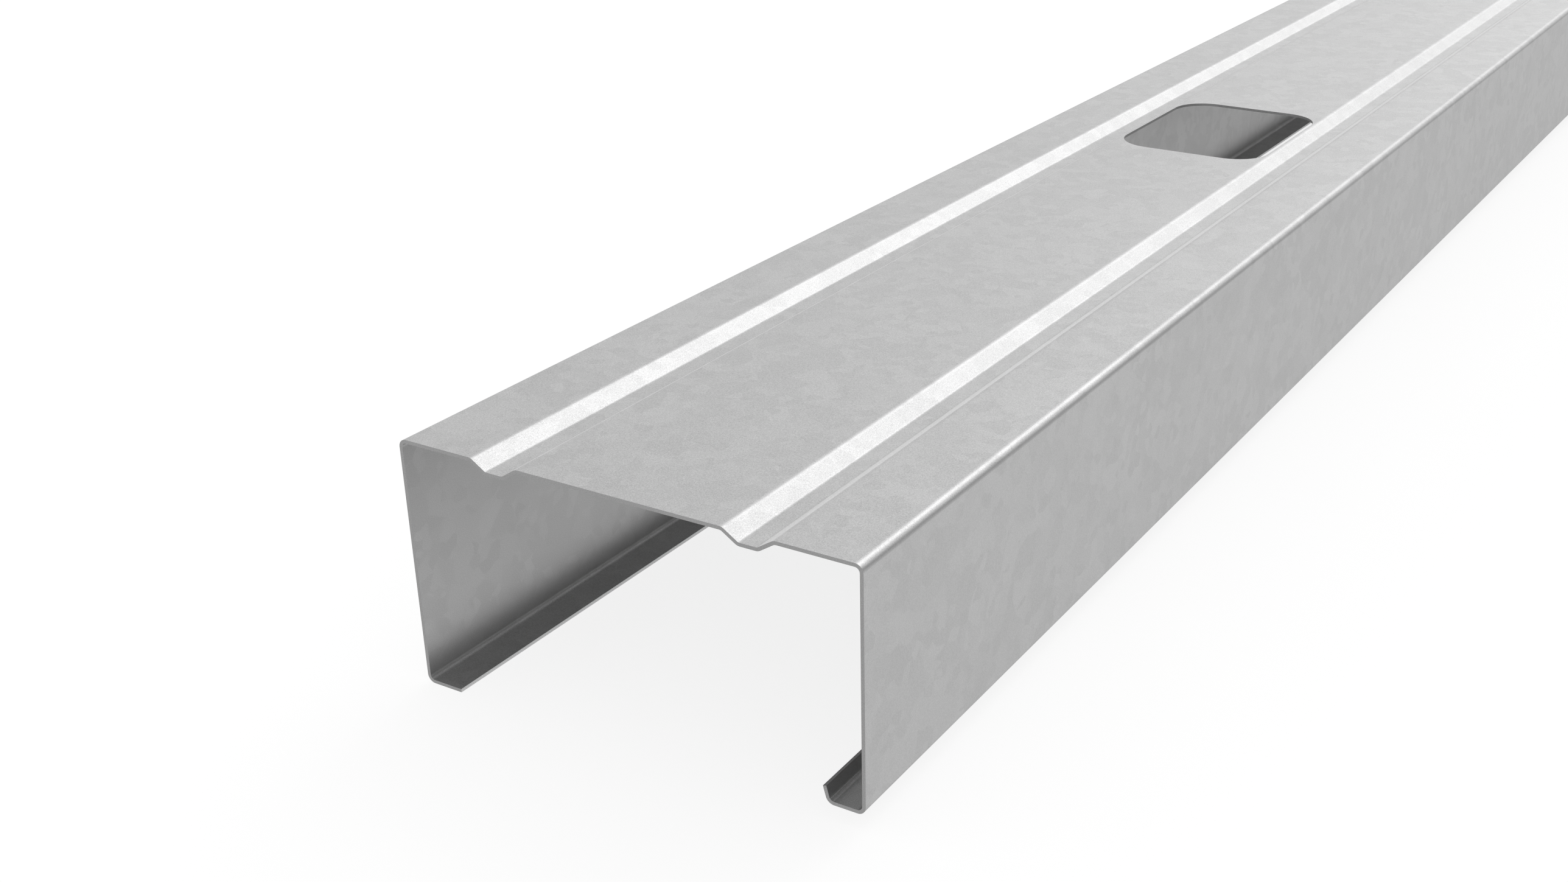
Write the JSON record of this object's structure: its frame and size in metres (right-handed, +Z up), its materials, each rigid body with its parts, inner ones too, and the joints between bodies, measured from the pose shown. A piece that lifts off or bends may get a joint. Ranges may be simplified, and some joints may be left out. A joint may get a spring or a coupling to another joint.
{
  "type": "steel wall stud",
  "caption": "Roll-formed galvanised steel partition stud: lipped channel with two web grooves, unequal flanges and rounded service holes in the web.",
  "frame": {"origin": "under the middle of the stud: centre of the web's width and of the length, at the level of the plain lip's underside", "axes": "+X across the web from the wide flange to the narrow one, +Y along the length, +Z up, out of the web's outer face"},
  "size_m": [0.07, 2.4, 0.0365],
  "materials": {
    "galvanised_steel": "hot-dip zinc coating, satin, with a faint fine spangle"
  },
  "bodies": {
    "root": {"stud": "galvanised_steel"}
  },
  "joints": []
}
